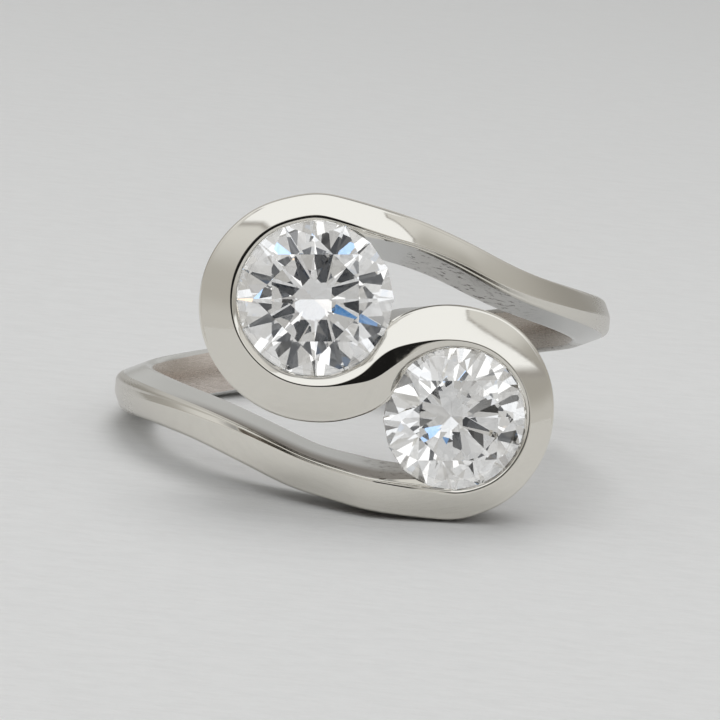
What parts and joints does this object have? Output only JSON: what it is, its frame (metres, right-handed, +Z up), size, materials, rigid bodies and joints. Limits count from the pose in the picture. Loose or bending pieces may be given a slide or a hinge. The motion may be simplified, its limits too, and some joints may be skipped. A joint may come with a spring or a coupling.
{
  "type": "cubic zirconia bypass ring",
  "caption": "Bypass finger ring whose single ribbon of polished white metal curls in an S round round-brilliant stones held in open half-bezels.",
  "frame": {"origin": "on the surface that the ring lies on, under the middle of its bounding box", "axes": "+Z up from that surface; -Y towards the head and the viewer; +X to the viewer's right, where the lower stone is"},
  "size_m": [0.021, 0.0236, 0.0129],
  "materials": {
    "metal": "mirror polish, white metal",
    "stone": "cut and polished, colourless"
  },
  "bodies": {
    "root": {"ring_band": "metal", "upper_stone": "stone", "lower_stone": "stone"}
  },
  "joints": []
}
